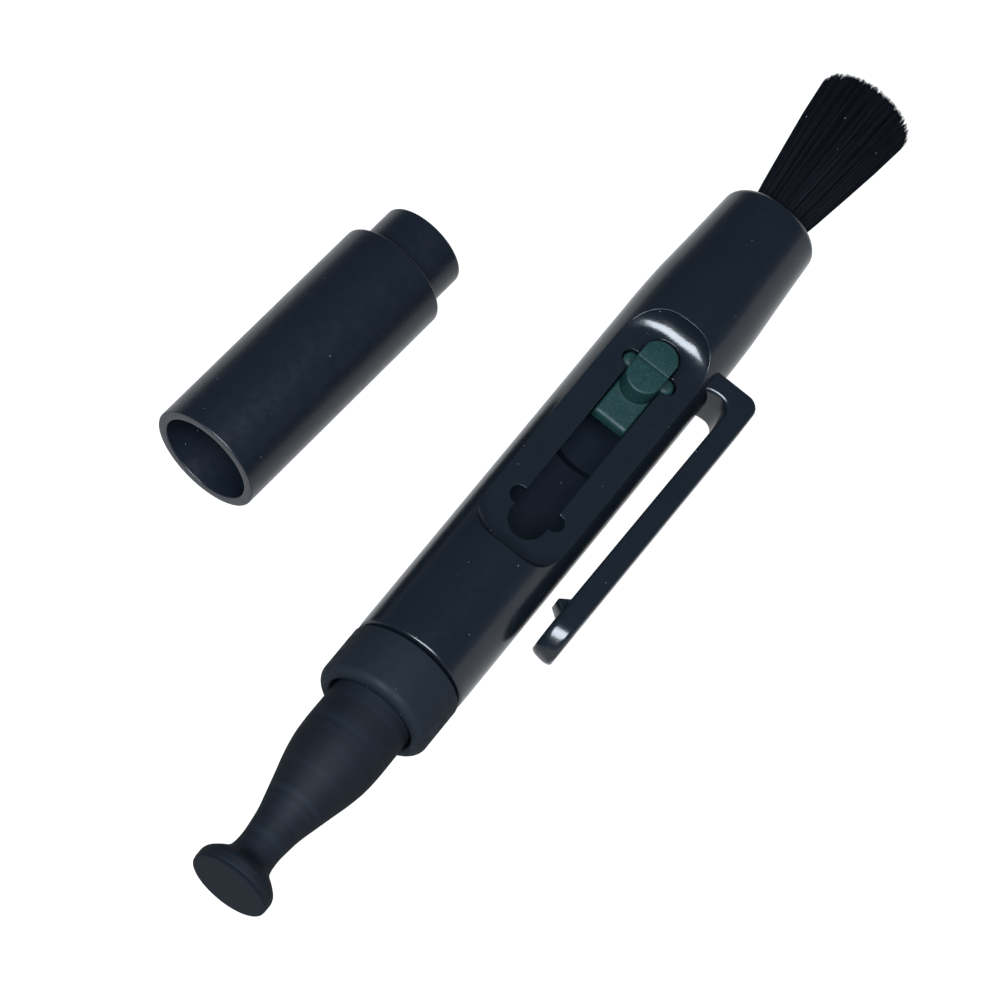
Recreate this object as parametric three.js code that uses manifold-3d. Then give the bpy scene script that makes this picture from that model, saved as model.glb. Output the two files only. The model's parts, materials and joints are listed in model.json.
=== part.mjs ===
// Lens cleaning pen: a round barrel with a slide-out dusting brush at one end, a soft neck
// with a chamois tip at the other, a pocket clip, and its pulled-off cap lying beside it.
//
// Millimetres, +Z up. The pen lies along X with the brush at +X, resting on its collar and
// rolled towards its clip. The origin is the centre of the footprint, on the table.
//
// Each pen piece is drawn in the pen's own frame: X runs along the axis from the joint of
// collar and barrel (0) towards the brush, Z is the normal of the thumb pocket's floor and
// the clip stands on the -Y side. Each cap piece is drawn in the cap's own frame: X runs
// from the open mouth (0) to the closed end.

import * as THREE from "three";
import { mergeVertices } from "three/addons/utils/BufferGeometryUtils.js";
import Module from "manifold-3d";

const wasm = await Module();
wasm.setup();

// How the two bodies lie on the table.
const PEN_SHIFT = [-30.025, -14.382];
const PEN_ROLL = 18;
const CAP_MOUTH = [9.4, 34.4];
const CAP_TURN = -4.7;

// Facets round a full turn.
const ROUND = 72;
const SMALL_ROUND = 36;
const NOTCH_FACETS = 20;
const NUB_FACETS = 16;

// Steps along an arc.
const OUTLINE_STEPS = 10;
const POCKET_STEPS = 8;
const SMALL_STEPS = 5;
const CLIP_END_STEPS = 12;
const EDGE_STEPS = 4;
const BALL_STEPS = 8;
const SOCKET_STEPS = 6;

// Far enough for a cutting shape to pass right through any piece.
const BEYOND = 20;

// How far a cutting shape runs past the face it opens.
const OVERCUT = 1;

// Barrel.
const BARREL_R = 7.0;
const BARREL_END = 72.25;
const BARREL_BORE_R = 5.8;
const BARREL_CHAMFER = 0.25;
const BRUSH_MOUTH_R = 4.85;
const BRUSH_MOUTH_FROM = 60.0;
const BRUSH_MOUTH_DEPTH = 3.4;
const END_ROUND = 1.2;
const END_R = 6.05;
// Outer radius of the barrel's taper at stations towards the brush end.
const TAPER = [
  [54.5, BARREL_R],
  [58.0, 6.91],
  [60.5, 6.76],
  [63.5, 6.56],
  [67.0, 6.34],
];

// Thumb pocket in the barrel, with its slot for the slider.
const POCKET_FLOOR = 4.3;
const POCKET_FROM = 15.6;
const POCKET_TO = 51.8;
const POCKET_CORNER = 4.4;
const POCKET_FILLET = 2.7;
const POCKET_HALF_WIDTH = 5.6;
const POCKET_SCOOP_HEIGHT = 4;
const WALL_UNDER_FLOOR = 3.5;
const FLAT_BORE_FROM = 12.5;
const FLAT_BORE_TO = 56.0;
const SLOT_WIDTH = 4.65;
const SLOT_FROM = 18.7;
const SLOT_TO = 49.6;
const NOTCH_R = 1.15;
const NOTCH_OUT = 2.5;
const NOTCHES_AT = [22.9, 45.0];
const LATCH_TRACK_HALF_WIDTH = 3.5;
const LATCH_TRACK_TOP = 4.0;
const LATCH_PLAY = 0.2;

// Thumb slider: a springy tongue with the button and two latch nubs on it.
const TONGUE_WIDTH = 4.45;
const TONGUE_FROM = 37.55;
const TONGUE_TO = 57.0;
const TONGUE_TOP = 3.35;
const TONGUE_THICK = 1.5;
const TONGUE_EDGE = 0.5;
const BUTTON_LENGTH = 7.2;
const BUTTON_WIDTH = 4.35;
const BUTTON_AT = 44.6;
const BUTTON_TOP = 6.8;
const BUTTON_BEVEL = 0.4;
const BUTTON_STEP_WIDTH = 0.3;
const BUTTON_STEP_DEPTH = 0.3;
const BUTTON_ROOT = 0.5;
const NUB_R = 0.8;
const NUB_OUT = 2.2;
const NUB_TOP = 3.85;
const NUB_BOTTOM = 2.0;

// Brush carriage, ferrule and tuft.
const CARRIAGE_FROM = 34.5;
const CARRIAGE_R = 5.5;
const CARRIAGE_BORE_R = 4.3;
const CARRIAGE_RAIL_TOP = 0.6;
const BULKHEAD_FROM = 57.4;
const BULKHEAD_TO = 65.0;
const BULKHEAD_TOP = 3.25;
const FERRULE_R = 3.15;
const FERRULE_WALL = 0.35;
const FERRULE_FROM = 60.0;
const FERRULE_TO = 69.4;
const FERRULE_CRIMP_AT = 67.0;
const FERRULE_CRIMP_DEPTH = 0.2;
const FERRULE_CRIMP_WIDTH = 0.6;
const FERRULE_FLOOR = 1.2;
const SLIDING_GAP = 0.05;
const TUFT_FROM = 62.0;
// Outer radius of the tuft at stations along the pen, from the ferrule to the ragged end.
const TUFT_FLARE = [
  [69.5, 2.7],
  [72.4, 3.24],
  [74.2, 3.55],
  [77.4, 4.03],
  [80.6, 4.48],
  [83.9, 4.94],
  [87.1, 5.39],
  [89.5, 5.71],
  [91.8, 5.93],
  [92.3, 5.6],
  [92.9, 4.2],
  [93.2, 2.0],
];
const TUFT_END = 93.2;

// Pocket clip, measured outwards from the pen's axis.
const CLIP_HALF_WIDTH = 3.6;
const CLIP_INNER = [9.15, 9.5];
const CLIP_OUTER = [11.9, 12.1];
const CLIP_FREE_END = 11.0;
const CLIP_END_ROUND = 0.7;
const CLIP_TOOTH_AT = 17.3;
const CLIP_TOOTH_HEIGHT = 1.2;
const CLIP_TOOTH_LENGTH = 2.4;
const CLIP_TOOTH_HALF_WIDTH = 1.4;
const CLIP_TOOTH_ROOT = 0.5;
const CLIP_ROOT_FROM = 48.6;
const CLIP_ROOT_TO = 51.1;
const CLIP_ROOT_FILLET = 1.5;
const CLIP_CORNER = 1.6;
const CLIP_EDGE = 0.35;
const CLIP_ROOT_REACH = 5.5;
const CLIP_GAP = 0.3;
const CLIP_PLAN_PLAY = 0.01;

// Collar and neck.
const COLLAR_R = 7.05;
const COLLAR_FRONT = -7.3;
const COLLAR_ROUND = 1.2;
const COLLAR_MOUTH_R = 5.42;
const COLLAR_MOUTH_DEPTH = 4.2;
const COLLAR_MOUTH_CHAMFER = [0.3, 0.15];
const COLLAR_EDGE = 0.3;
const COLLAR_BACK = -0.15;
const SPIGOT_R = 5.7;
const SPIGOT_TO = 8.0;
const SPIGOT_CHAMFER = 0.4;
const CORE_R = 2.0;
const CORE_BORE_R = 2.15;
const CORE_TO = 5.0;
const CORE_FULL_FROM = -20.0;
const CORE_WAIST_R = 1.4;
const FLEX_AT = -28.3;
const BALL_R = 1.35;
const BALL_NECK_R = 0.75;
const BALL_NECK_LENGTH = 0.6;
const CORE_WAIST_LENGTH = 2.2;
// Outer radius of the rubber boot at stations from the waist to the collar.
const BOOT_FROM = -27.95;
const BOOT_TO = -3.6;
const BOOT_PROFILE = [
  [BOOT_FROM, 2.38],
  [-27.75, 2.48],
  [-26.2, 2.55],
  [-23.9, 2.85],
  [-21.5, 3.42],
  [-19.2, 3.99],
  [-16.9, 4.57],
  [-14.5, 4.99],
  [-12.2, 5.12],
  [BOOT_TO, 5.12],
];

// Chamois tip.
const TIP_RIM_R = 4.78;
const TIP_FRONT = -33.15;
const TIP_SEAT_R = 4.3;
const TIP_SEAT_DEPTH = 1.5;
const CHAMOIS_THICK = 0.7;
const FOAM_THICK = 0.7;
const PAD_GAP = 0.05;
const SOCKET_ENTRY_R = 1.2;
const SOCKET_LIP = 0.3;
const SOCKET_PLAY = 0.15;
const CHAMOIS_EDGE = [0.2, 0.3];
// Outer radius of the tip at distances behind its face, from the rim down to the neck.
const TIP_FLARE = [
  [0.1, 4.58],
  [0.35, TIP_RIM_R],
  [1.5, TIP_RIM_R],
  [2.0, 4.5],
  [2.7, 3.8],
  [3.4, 3.0],
  [3.9, 2.65],
];
// Outer radius of the tip's back at distances from the ball's centre, in to its socket.
const TIP_BACK = [
  [-0.6, 2.5],
  [-0.45, 2.3],
  [-0.3, 1.7],
];

// Cap.
const CAP_LENGTH = 32.5;
const CAP_R = 6.92;
const CAP_BORE_R = 5.5;
const CAP_MOUTH_R = 5.72;
const CAP_BORE_STRAIGHT_FROM = 23.0;
const CAP_MOUTH_CHAMFER = 0.1;
const CAP_EDGE = 0.25;
const CUP_R = 5.43;
const CUP_FROM = 25.0;
const CUP_TO = 38.15;
const CUP_EDGE = 0.4;
const CUP_WALL = 0.6;
const SPONGE_FROM = 25.7;
const SPONGE_TO = 30.0;
const CUP_HOLLOW_R = 3.9;
const CUP_HOLLOW_TO = 36.2;
const SPONGE_EDGE = [0.3, 0.4];

const UP = new THREE.Vector3(0, 0, 1);

// ---------------------------------------------------------------------------
// Materials.

function plastic(colour, roughness) {
  return new THREE.MeshStandardMaterial({ color: colour, roughness, metalness: 0 });
}

function glossPlastic() {
  return plastic(0x161c26, 0.22);
}

function mattePlastic() {
  return plastic(0x20262e, 0.6);
}

function greenPlastic() {
  return plastic(0x234b46, 0.55);
}

function innerPlastic() {
  return plastic(0x2a2f36, 0.5);
}

function rubber() {
  return plastic(0x23282f, 0.8);
}

function chamois() {
  return plastic(0x262a30, 0.95);
}

function foam() {
  return plastic(0x3a3c40, 1);
}

function bristleHair() {
  return plastic(0x14161a, 0.6);
}

function carbonSponge() {
  return plastic(0x101113, 1);
}

function ferruleMetal() {
  return new THREE.MeshStandardMaterial({ color: 0xb9bcc0, roughness: 0.35, metalness: 1 });
}

// ---------------------------------------------------------------------------
// Solids.

// A closed solid for boolean work, from a three.js geometry.
function toSolid(geometry) {
  const bare = geometry.clone();
  bare.deleteAttribute("normal");
  bare.deleteAttribute("uv");
  const merged = mergeVertices(bare, 1e-4);
  return new wasm.Manifold(
    new wasm.Mesh({
      numProp: 3,
      vertProperties: merged.attributes.position.array,
      triVerts: new Uint32Array(merged.index.array),
    }),
  );
}

// A flat-shaded three.js geometry from a solid.
function toGeometry(solid) {
  const made = solid.getMesh();
  const geometry = new THREE.BufferGeometry();
  const points = new Float32Array(made.numVert * 3);
  for (let i = 0; i < made.numVert; i++) {
    const from = i * made.numProp;
    points.set(made.vertProperties.subarray(from, from + 3), i * 3);
  }
  geometry.setAttribute("position", new THREE.BufferAttribute(points, 3));
  geometry.setIndex(new THREE.BufferAttribute(new Uint32Array(made.triVerts), 1));
  const flat = geometry.toNonIndexed();
  flat.computeVertexNormals();
  return flat;
}

// A profile of [x, radius] points turned about the X axis. It runs towards +X on the
// outside, and either starts and ends on the axis or closes on itself.
function turned(profile, facets = ROUND) {
  const points = profile.map(([x, r]) => new THREE.Vector2(r, x));
  const geometry = new THREE.LatheGeometry(points, facets);
  geometry.rotateZ(-Math.PI / 2);
  return toSolid(geometry);
}

// A plain round bar along X.
function bar(from, to, radius, facets = ROUND) {
  return turned(
    [
      [from, 0],
      [from, radius],
      [to, radius],
      [to, 0],
    ],
    facets,
  );
}

function box(x0, x1, y0, y1, z0, z1) {
  const geometry = new THREE.BoxGeometry(x1 - x0, y1 - y0, z1 - z0);
  geometry.translate((x0 + x1) / 2, (y0 + y1) / 2, (z0 + z1) / 2);
  return toSolid(geometry);
}

// A round-ended bar in plan, standing from z0 to z1.
function capsuleShape(x0, x1, width) {
  const r = width / 2;
  const shape = new THREE.Shape();
  shape.moveTo(x0 + r, -r);
  shape.lineTo(x1 - r, -r);
  shape.absarc(x1 - r, 0, r, -Math.PI / 2, Math.PI / 2, false);
  shape.lineTo(x0 + r, r);
  shape.absarc(x0 + r, 0, r, Math.PI / 2, (3 * Math.PI) / 2, false);
  return shape;
}

function roundedBoxShape(x0, x1, halfWidth, corner) {
  const shape = new THREE.Shape();
  shape.moveTo(x0 + corner, -halfWidth);
  shape.lineTo(x1 - corner, -halfWidth);
  shape.absarc(x1 - corner, -halfWidth + corner, corner, -Math.PI / 2, 0, false);
  shape.lineTo(x1, halfWidth - corner);
  shape.absarc(x1 - corner, halfWidth - corner, corner, 0, Math.PI / 2, false);
  shape.lineTo(x0 + corner, halfWidth);
  shape.absarc(x0 + corner, halfWidth - corner, corner, Math.PI / 2, Math.PI, false);
  shape.lineTo(x0, -halfWidth + corner);
  shape.absarc(x0 + corner, -halfWidth + corner, corner, Math.PI, 1.5 * Math.PI, false);
  return shape;
}

function uprightGeometry(shape, z0, z1, curveSegments = OUTLINE_STEPS) {
  const geometry = new THREE.ExtrudeGeometry(shape, {
    depth: z1 - z0,
    bevelEnabled: false,
    curveSegments,
  });
  geometry.translate(0, 0, z0);
  return geometry;
}

// An outline in X and Y, standing from z0 to z1.
function standing(shape, z0, z1) {
  return toSolid(uprightGeometry(shape, z0, z1));
}

// The same, turned about X afterwards.
function turnedOver(shape, z0, z1, angle, curveSegments = OUTLINE_STEPS) {
  const geometry = uprightGeometry(shape, z0, z1, curveSegments);
  geometry.rotateX(angle);
  return toSolid(geometry);
}

// Points of an arc, from startAngle through sweep, in [x, radius] terms.
function quarter(cx, cr, radius, startAngle, sweep, steps = SMALL_STEPS) {
  const points = [];
  for (let i = 0; i <= steps; i++) {
    const a = startAngle + (sweep * i) / steps;
    points.push([cx + radius * Math.cos(a), cr + radius * Math.sin(a)]);
  }
  return points;
}

function named(name, solid, material) {
  const mesh = new THREE.Mesh(toGeometry(solid), material);
  mesh.name = name;
  return mesh;
}

// ---------------------------------------------------------------------------
// Barrel.

// The barrel's outer shape as a solid bar, before anything is cut from it.
function barrelOutside() {
  return turned([
    [0, 0],
    [0, BARREL_R - BARREL_CHAMFER],
    [BARREL_CHAMFER, BARREL_R],
    ...TAPER,
    ...quarter(BARREL_END - END_ROUND, END_R - END_ROUND, END_ROUND, Math.PI / 2, -Math.PI / 2),
    [BARREL_END, 0],
  ]);
}

// The bore: round at both ends, with a flat top where it runs below the thumb pocket.
function barrelBore() {
  const bore = bar(-BEYOND, BARREL_END - BRUSH_MOUTH_DEPTH, BARREL_BORE_R);
  const wall = box(FLAT_BORE_FROM, FLAT_BORE_TO, -BEYOND, BEYOND, WALL_UNDER_FLOOR, BEYOND);
  const mouth = bar(BRUSH_MOUTH_FROM, BARREL_END + BEYOND, BRUSH_MOUTH_R);
  return bore.subtract(wall).add(mouth);
}

// What is scooped out above the pocket's floor; its lower edge is rounded, so the walls
// at both ends sweep up in a concave curve.
function pocketScoop() {
  const shape = roundedBoxShape(
    POCKET_FROM,
    POCKET_TO,
    POCKET_HALF_WIDTH + POCKET_FILLET,
    POCKET_CORNER + POCKET_FILLET,
  );
  const geometry = new THREE.ExtrudeGeometry(shape, {
    depth: POCKET_SCOOP_HEIGHT,
    bevelEnabled: true,
    bevelThickness: POCKET_FILLET,
    bevelSize: POCKET_FILLET,
    bevelOffset: -POCKET_FILLET,
    bevelSegments: SMALL_STEPS,
    curveSegments: POCKET_STEPS,
  });
  geometry.translate(0, 0, POCKET_FLOOR + POCKET_FILLET);
  return toSolid(geometry);
}

function sliderSlot() {
  const low = WALL_UNDER_FLOOR - OVERCUT;
  const high = POCKET_FLOOR + OVERCUT;
  let cut = standing(capsuleShape(SLOT_FROM, SLOT_TO, SLOT_WIDTH), low, high);
  for (const x of NOTCHES_AT) {
    for (const side of [-1, 1]) {
      const notch = new THREE.CylinderGeometry(NOTCH_R, NOTCH_R, high - low, NOTCH_FACETS);
      notch.rotateX(Math.PI / 2);
      notch.translate(x, side * NOTCH_OUT, (high + low) / 2);
      cut = cut.add(toSolid(notch));
    }
  }
  const [first, last] = NOTCHES_AT;
  const track = box(
    first - NOTCH_R - LATCH_PLAY,
    last + NOTCH_R + LATCH_PLAY,
    -LATCH_TRACK_HALF_WIDTH,
    LATCH_TRACK_HALF_WIDTH,
    low,
    LATCH_TRACK_TOP,
  );
  return cut.add(track);
}

function barrel() {
  const solid = barrelOutside()
    .subtract(barrelBore())
    .subtract(pocketScoop())
    .subtract(sliderSlot());
  return named("barrel", solid, glossPlastic());
}

// ---------------------------------------------------------------------------
// Pocket clip.

// The clip's outline seen along its width, with +Y running outwards from the pen's axis.
function clipSide() {
  const shape = new THREE.Shape();
  const end = CLIP_FREE_END;
  const round = CLIP_END_ROUND;
  shape.absarc(end + round, CLIP_OUTER[0] - round, round, Math.PI / 2, Math.PI, false);
  shape.absarc(end + round, CLIP_INNER[0] + round, round, Math.PI, 1.5 * Math.PI, false);
  shape.lineTo(CLIP_ROOT_FROM - CLIP_ROOT_FILLET, CLIP_INNER[1]);
  shape.absarc(
    CLIP_ROOT_FROM - CLIP_ROOT_FILLET,
    CLIP_INNER[1] - CLIP_ROOT_FILLET,
    CLIP_ROOT_FILLET,
    Math.PI / 2,
    0,
    true,
  );
  shape.lineTo(CLIP_ROOT_FROM, CLIP_ROOT_REACH);
  shape.lineTo(CLIP_ROOT_TO, CLIP_ROOT_REACH);
  shape.lineTo(CLIP_ROOT_TO, CLIP_OUTER[1] - CLIP_CORNER);
  shape.absarc(
    CLIP_ROOT_TO - CLIP_CORNER,
    CLIP_OUTER[1] - CLIP_CORNER,
    CLIP_CORNER,
    0,
    Math.PI / 2,
    false,
  );
  return shape;
}

// The wedge near the free end that bites into the cloth of a shirt pocket.
function clipTooth() {
  const base = CLIP_INNER[0] + CLIP_TOOTH_ROOT;
  const half = CLIP_TOOTH_LENGTH / 2;
  const shape = new THREE.Shape();
  shape.moveTo(CLIP_TOOTH_AT - half, CLIP_INNER[0]);
  shape.lineTo(CLIP_TOOTH_AT, CLIP_INNER[0] - CLIP_TOOTH_HEIGHT);
  shape.lineTo(CLIP_TOOTH_AT + half, CLIP_INNER[0]);
  shape.lineTo(CLIP_TOOTH_AT + half, base);
  shape.lineTo(CLIP_TOOTH_AT - half, base);
  return turnedOver(shape, -CLIP_TOOTH_HALF_WIDTH, CLIP_TOOTH_HALF_WIDTH, Math.PI);
}

function pocketClip() {
  const bevel = CLIP_EDGE;
  const side = new THREE.ExtrudeGeometry(clipSide(), {
    depth: 2 * (CLIP_HALF_WIDTH - bevel),
    bevelEnabled: true,
    bevelThickness: bevel,
    bevelSize: bevel,
    bevelOffset: -bevel,
    bevelSegments: 1,
    curveSegments: SMALL_STEPS,
  });
  side.translate(0, 0, -(CLIP_HALF_WIDTH - bevel));
  side.rotateX(Math.PI);
  const plan = turnedOver(
    capsuleShape(
      CLIP_FREE_END - CLIP_PLAN_PLAY,
      CLIP_ROOT_TO + BEYOND,
      2 * (CLIP_HALF_WIDTH + CLIP_PLAN_PLAY),
    ),
    -BEYOND,
    BEYOND,
    Math.PI / 2,
    CLIP_END_STEPS,
  );
  const solid = toSolid(side)
    .intersect(plan)
    .add(clipTooth())
    .subtract(bar(-BEYOND, CLIP_ROOT_TO + BEYOND, BARREL_R + CLIP_GAP));
  return named("pocket_clip", solid, glossPlastic());
}

// ---------------------------------------------------------------------------
// Thumb slider, carriage and brush.

function thumbSlider() {
  const edge = TONGUE_EDGE;
  const tongueShape = new THREE.Shape();
  tongueShape.moveTo(TONGUE_FROM, TONGUE_TOP - TONGUE_THICK);
  tongueShape.lineTo(TONGUE_TO, TONGUE_TOP - TONGUE_THICK);
  tongueShape.lineTo(TONGUE_TO, TONGUE_TOP);
  tongueShape.lineTo(TONGUE_FROM + edge, TONGUE_TOP);
  tongueShape.absarc(TONGUE_FROM + edge, TONGUE_TOP - edge, edge, Math.PI / 2, Math.PI, false);
  const half = TONGUE_WIDTH / 2;
  const tongue = turnedOver(tongueShape, -half, half, Math.PI / 2, EDGE_STEPS);
  const bevel = BUTTON_BEVEL;
  const buttonFrom = TONGUE_TOP - BUTTON_ROOT;
  const top = new THREE.ExtrudeGeometry(
    capsuleShape(BUTTON_AT - BUTTON_LENGTH / 2, BUTTON_AT + BUTTON_LENGTH / 2, BUTTON_WIDTH),
    {
      depth: BUTTON_TOP - buttonFrom - 2 * bevel,
      bevelEnabled: true,
      bevelThickness: bevel,
      bevelSize: bevel,
      bevelOffset: -bevel,
      bevelSegments: 2,
      curveSegments: OUTLINE_STEPS,
    },
  );
  top.translate(0, 0, buttonFrom + bevel);
  let solid = tongue.add(toSolid(top));
  for (const side of [-1, 1]) {
    const nub = new THREE.CylinderGeometry(NUB_R, NUB_R, NUB_TOP - NUB_BOTTOM, NUB_FACETS);
    nub.rotateX(Math.PI / 2);
    nub.translate(NOTCHES_AT[1], side * NUB_OUT, (NUB_TOP + NUB_BOTTOM) / 2);
    solid = solid.add(toSolid(nub));
  }
  // A shallow groove across the middle of the top gives the thumb a hold.
  const step = box(
    BUTTON_AT - BUTTON_STEP_WIDTH / 2,
    BUTTON_AT + BUTTON_STEP_WIDTH / 2,
    -BUTTON_WIDTH,
    BUTTON_WIDTH,
    BUTTON_TOP - BUTTON_STEP_DEPTH,
    BUTTON_TOP + OVERCUT,
  );
  return named("thumb_slider", solid.subtract(step), greenPlastic());
}

function brushCarriage() {
  const trough = bar(CARRIAGE_FROM, BULKHEAD_FROM + OVERCUT, CARRIAGE_R)
    .subtract(bar(CARRIAGE_FROM - OVERCUT, BULKHEAD_FROM, CARRIAGE_BORE_R))
    .subtract(box(0, BULKHEAD_FROM, -BEYOND, BEYOND, CARRIAGE_RAIL_TOP, BEYOND));
  const bulkhead = bar(BULKHEAD_FROM, BULKHEAD_TO, CARRIAGE_R);
  const top = box(0, BULKHEAD_TO + OVERCUT, -BEYOND, BEYOND, BULKHEAD_TOP, BEYOND);
  const socket = bar(
    FERRULE_FROM - SLIDING_GAP,
    BULKHEAD_TO + OVERCUT,
    FERRULE_R + SLIDING_GAP,
    SMALL_ROUND,
  );
  const solid = trough.add(bulkhead).subtract(top).subtract(socket);
  return named("brush_carriage", solid, innerPlastic());
}

function brushFerrule() {
  const r = FERRULE_R;
  const inner = r - FERRULE_WALL;
  const crimp = FERRULE_CRIMP_AT;
  const half = FERRULE_CRIMP_WIDTH / 2;
  const solid = turned(
    [
      [FERRULE_FROM, 0],
      [FERRULE_FROM, r],
      [crimp - 2 * half, r],
      [crimp - half, r - FERRULE_CRIMP_DEPTH],
      [crimp + half, r - FERRULE_CRIMP_DEPTH],
      [crimp + 2 * half, r],
      [FERRULE_TO, r],
      [FERRULE_TO, inner],
      [FERRULE_FROM + FERRULE_FLOOR, inner],
      [FERRULE_FROM + FERRULE_FLOOR, 0],
    ],
    SMALL_ROUND,
  );
  return named("brush_ferrule", solid, ferruleMetal());
}

function bristleTuft() {
  const rootR = FERRULE_R - FERRULE_WALL - SLIDING_GAP;
  const solid = turned(
    [
      [TUFT_FROM, 0],
      [TUFT_FROM, rootR],
      ...TUFT_FLARE,
      [TUFT_END, 0],
    ],
    SMALL_ROUND,
  );
  return named("bristle_tuft", solid, bristleHair());
}

// ---------------------------------------------------------------------------
// Collar, neck and tip.

function neckCollar() {
  const front = COLLAR_FRONT;
  const [depth, widen] = COLLAR_MOUTH_CHAMFER;
  const solid = turned([
    [front + COLLAR_MOUTH_DEPTH, CORE_BORE_R],
    [front + COLLAR_MOUTH_DEPTH, COLLAR_MOUTH_R],
    [front + depth, COLLAR_MOUTH_R],
    [front, COLLAR_MOUTH_R + widen],
    ...quarter(front + COLLAR_ROUND, COLLAR_R - COLLAR_ROUND, COLLAR_ROUND, Math.PI, -Math.PI / 2),
    [COLLAR_BACK - COLLAR_EDGE, COLLAR_R],
    [COLLAR_BACK, COLLAR_R - COLLAR_EDGE],
    [COLLAR_BACK, SPIGOT_R],
    [SPIGOT_TO - SPIGOT_CHAMFER, SPIGOT_R],
    [SPIGOT_TO, SPIGOT_R - SPIGOT_CHAMFER],
    [SPIGOT_TO, CORE_BORE_R],
    [front + COLLAR_MOUTH_DEPTH, CORE_BORE_R],
  ]);
  return named("neck_collar", solid, mattePlastic());
}

// The stiff rod inside the boot. Its ball end carries the tip.
function neckCore() {
  const throat = Math.sqrt(BALL_R ** 2 - BALL_NECK_R ** 2);
  const waistFrom = FLEX_AT + throat;
  const ball = [];
  const open = Math.asin(BALL_NECK_R / BALL_R);
  for (let i = 0; i <= BALL_STEPS; i++) {
    const a = Math.PI - ((Math.PI - open) * i) / BALL_STEPS;
    const r = i === 0 ? 0 : BALL_R * Math.sin(a);
    ball.push([FLEX_AT + BALL_R * Math.cos(a), r]);
  }
  const solid = turned(
    [
      ...ball,
      [waistFrom + BALL_NECK_LENGTH, BALL_NECK_R],
      [waistFrom + CORE_WAIST_LENGTH, CORE_WAIST_R],
      [CORE_FULL_FROM, CORE_R],
      [CORE_TO, CORE_R],
      [CORE_TO, 0],
    ],
    SMALL_ROUND,
  );
  return named("neck_core", solid, innerPlastic());
}

function neckBoot() {
  const solid = turned([
    [BOOT_TO, CORE_BORE_R],
    [BOOT_FROM, CORE_BORE_R],
    ...BOOT_PROFILE,
    [BOOT_TO, CORE_BORE_R],
  ]);
  return named("neck_boot", solid, rubber());
}

function tipDisc() {
  const seat = TIP_FRONT + TIP_SEAT_DEPTH;
  const socketR = BALL_R + SOCKET_PLAY;
  const socket = [];
  const open = Math.asin(SOCKET_ENTRY_R / socketR);
  for (let i = 0; i <= SOCKET_STEPS; i++) {
    const a = open + ((Math.PI - open) * i) / SOCKET_STEPS;
    const r = i === SOCKET_STEPS ? 0 : socketR * Math.sin(a);
    socket.push([FLEX_AT + socketR * Math.cos(a), r]);
  }
  const solid = turned(
    [
      [seat, 0],
      [seat, TIP_SEAT_R],
      [TIP_FRONT + TIP_FLARE[0][0], TIP_SEAT_R],
      ...TIP_FLARE.map(([behind, r]) => [TIP_FRONT + behind, r]),
      ...TIP_BACK.map(([past, r]) => [FLEX_AT + past, r]),
      [FLEX_AT + socketR * Math.cos(open), SOCKET_ENTRY_R + SOCKET_LIP],
      ...socket,
    ],
    SMALL_ROUND,
  );
  return named("tip_disc", solid, rubber());
}

function tipFoam() {
  const seat = TIP_FRONT + TIP_SEAT_DEPTH;
  const back = seat - PAD_GAP;
  const solid = bar(back - FOAM_THICK, back, TIP_SEAT_R - PAD_GAP, SMALL_ROUND);
  return named("tip_foam", solid, foam());
}

function chamoisPad() {
  const back = TIP_FRONT + CHAMOIS_THICK - PAD_GAP;
  const r = TIP_SEAT_R - PAD_GAP;
  const [along, across] = CHAMOIS_EDGE;
  const solid = turned(
    [
      [TIP_FRONT, 0],
      [TIP_FRONT, r - across],
      [TIP_FRONT + along, r],
      [back, r],
      [back, 0],
    ],
    SMALL_ROUND,
  );
  return named("chamois_pad", solid, chamois());
}

// ---------------------------------------------------------------------------
// Cap.

function capTube() {
  const solid = turned([
    [CAP_LENGTH, CAP_BORE_R],
    [CAP_BORE_STRAIGHT_FROM, CAP_BORE_R],
    [CAP_MOUTH_CHAMFER, CAP_MOUTH_R],
    [0, CAP_MOUTH_R + CAP_MOUTH_CHAMFER],
    [0, CAP_R - CAP_EDGE],
    [CAP_EDGE, CAP_R],
    [CAP_LENGTH - CAP_EDGE, CAP_R],
    [CAP_LENGTH, CAP_R - CAP_EDGE],
    [CAP_LENGTH, CAP_BORE_R],
  ]);
  return named("cap_tube", solid, glossPlastic());
}

// The cup is pushed into the tube from the closed end and shows as a short stub.
function carbonCup() {
  const endRound = quarter(
    CUP_TO - CUP_EDGE,
    CUP_R - CUP_EDGE,
    CUP_EDGE,
    Math.PI / 2,
    -Math.PI / 2,
    EDGE_STEPS,
  );
  const solid = turned([
    [SPONGE_TO, CUP_HOLLOW_R],
    [SPONGE_TO, CUP_R - CUP_WALL],
    [CUP_FROM, CUP_R - CUP_WALL],
    [CUP_FROM, CUP_R],
    ...endRound,
    [CUP_TO, 0],
    [CUP_HOLLOW_TO, 0],
    [CUP_HOLLOW_TO, CUP_HOLLOW_R],
    [SPONGE_TO, CUP_HOLLOW_R],
  ]);
  return named("carbon_cup", solid, glossPlastic());
}

function capSponge() {
  const r = CUP_R - CUP_WALL - PAD_GAP;
  const [along, across] = SPONGE_EDGE;
  const solid = turned(
    [
      [SPONGE_FROM, 0],
      [SPONGE_FROM, r - across],
      [SPONGE_FROM + along, r],
      [SPONGE_TO - PAD_GAP, r],
      [SPONGE_TO - PAD_GAP, 0],
    ],
    SMALL_ROUND,
  );
  return named("carbon_sponge", solid, carbonSponge());
}

// ---------------------------------------------------------------------------
// The whole object.

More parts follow.
